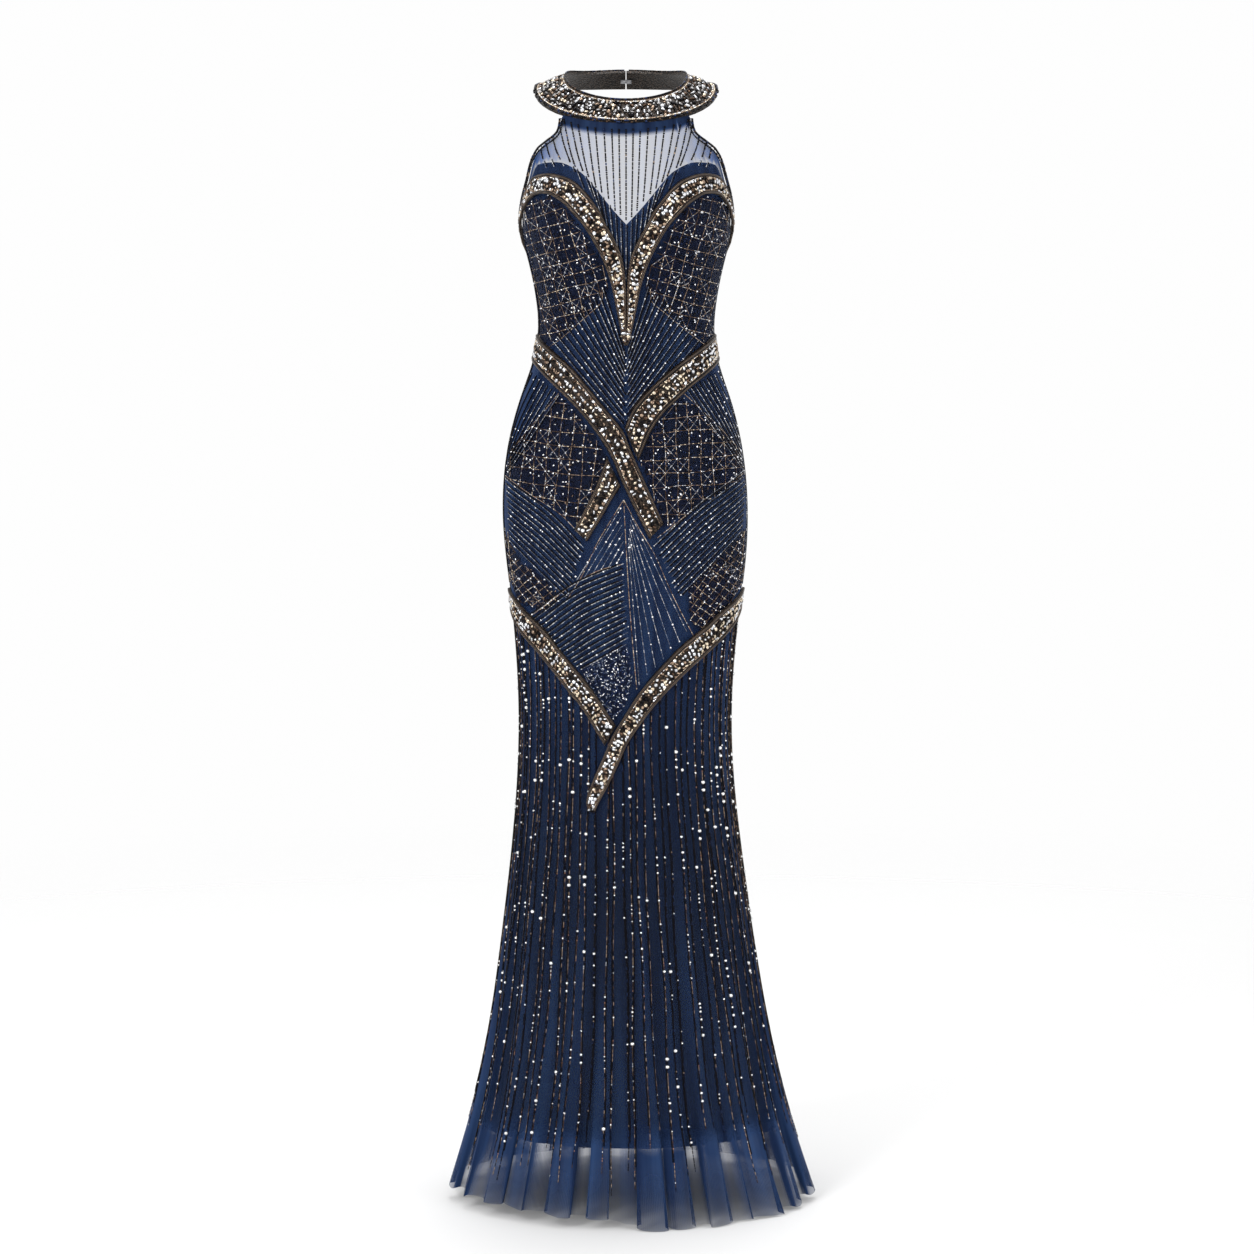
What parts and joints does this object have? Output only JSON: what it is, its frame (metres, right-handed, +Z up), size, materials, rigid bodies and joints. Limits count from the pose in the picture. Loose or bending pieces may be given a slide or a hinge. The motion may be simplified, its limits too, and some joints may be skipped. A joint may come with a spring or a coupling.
{
  "type": "evening gown",
  "caption": "Floor-length beaded halter evening gown, fitted to the knee and flared below, with crystal collar, curved bands and a sheer yoke",
  "frame": {"origin": "the middle of the neck ring, where the wearer's neck holds the gown up", "axes": "+X to the viewer's right as seen from the front, -Y out of the front of the gown, +Z up from hem to collar"},
  "size_m": [0.4783, 0.4305, 1.4774],
  "materials": {
    "tulle": "sheer navy net carrying lines of beads",
    "lining": "opaque navy satin lining, soft sheen",
    "crystal_band": "silver and champagne cut stones and bugle beads set close on dark bronze net",
    "bead_string": "small dark bronze and black beads with silver glints",
    "steel": "dark coated metal of the zip and hook"
  },
  "bodies": {
    "root": {"collar": "crystal_band", "collar_hook": "steel", "zip": "steel", "front_upper": "tulle", "skirt_front": "tulle", "back_upper_left": "tulle", "back_upper_right": "tulle", "skirt_back_left": "tulle", "skirt_back_right": "tulle", "lining_front": "lining", "lining_back_left": "lining", "lining_back_right": "lining", "bust_band_left": "crystal_band", "bust_band_right": "crystal_band", "waist_band_over": "crystal_band", "waist_band_under_upper": "crystal_band", "waist_band_under_lower": "crystal_band", "hip_band_over": "crystal_band", "hip_band_under": "crystal_band", "back_bust_band_left": "crystal_band", "back_bust_band_right": "crystal_band", "back_waist_band_left": "crystal_band", "back_waist_band_right": "crystal_band", "back_hip_band_left": "crystal_band", "back_hip_band_right": "crystal_band", "armhole_edging_left": "bead_string", "armhole_edging_right": "bead_string"}
  },
  "joints": []
}
